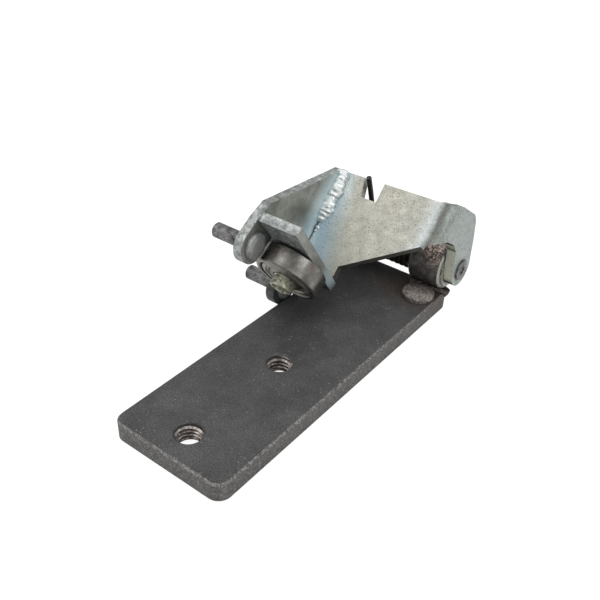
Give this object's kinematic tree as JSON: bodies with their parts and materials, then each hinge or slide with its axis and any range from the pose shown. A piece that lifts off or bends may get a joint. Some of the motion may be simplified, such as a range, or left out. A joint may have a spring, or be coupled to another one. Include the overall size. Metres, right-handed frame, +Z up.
{
  "type": "sliding door roller",
  "caption": "Steel door roller: thick fixing plate with two tapped holes, welded hinge and a sprung sheet arm that carries a ball bearing roller and plain guide pins.",
  "frame": {"origin": "midway between the two tapped holes, on the underside of the fixing plate", "axes": "+X across the plate to the stop stud's side, +Y along the plate to the hinge, +Z up out of the plate"},
  "size_m": [0.0589, 0.127, 0.0448],
  "materials": {
    "plate_steel": "dark rolled steel with light oil",
    "stud_steel": "rough peened steel",
    "barrel_steel": "dark scaled steel with bronze scratches",
    "dark_weld": "dark oxidised weld",
    "pin_steel": "turned steel",
    "washer_steel": "bright steel",
    "spring_steel": "black spring wire",
    "sheet_steel": "zinc plated sheet with small pits",
    "carrier_steel": "zinc plated sheet",
    "bright_weld": "bright weld beads",
    "plated_axle": "yellow passivated steel",
    "bearing_steel": "ground bearing steel",
    "ball_steel": "polished steel",
    "cage_steel": "pressed steel",
    "shield_steel": "pressed steel"
  },
  "bodies": {
    "base": {"base_plate": "plate_steel", "stop_stud": "stud_steel", "hinge_barrel_right": "barrel_steel", "hinge_barrel_left": "barrel_steel", "barrel_weld_right": "dark_weld", "barrel_weld_left": "dark_weld", "torsion_spring": "spring_steel"},
    "arm": {"hinge_pin": "pin_steel", "washer_right": "washer_steel", "washer_left": "washer_steel", "arm_web": "sheet_steel", "carrier_plate": "carrier_steel", "seam_weld": "bright_weld", "roller_axle": "plated_axle", "roller_spacer": "washer_steel", "bearing_inner_ring": "bearing_steel", "upper_guide_pin": "pin_steel", "lower_guide_pin": "pin_steel"},
    "roller": {"bearing_outer_ring": "bearing_steel", "bearing_shield_front": "shield_steel", "bearing_shield_rear": "shield_steel"},
    "cage": {"bearing_cage": "cage_steel", "bearing_balls": "ball_steel"}
  },
  "joints": [
    {"name": "arm_swing", "type": "hinge", "parent": "base", "child": "arm", "pos_m": [0, 0.0895, 0.0146], "axis": [-1, 0, 0], "range_deg": [0, 100], "stiffness_Nm_per_rad": 0.35, "springref_deg": -51.57, "deforming": ["torsion_spring"]},
    {"name": "roller_spin", "type": "hinge", "parent": "arm", "child": "roller", "pos_m": [-0.0136, 0.0414, 0.0226], "axis": [0, -0.829, -0.5592], "continuous": true},
    {"name": "cage_orbit", "type": "hinge", "parent": "arm", "child": "cage", "pos_m": [-0.0136, 0.0414, 0.0226], "axis": [0, -0.829, -0.5592], "continuous": true}
  ],
  "couplings": [
    {"joint": "cage_orbit", "follows": "roller_spin", "ratio": 0.63}
  ]
}
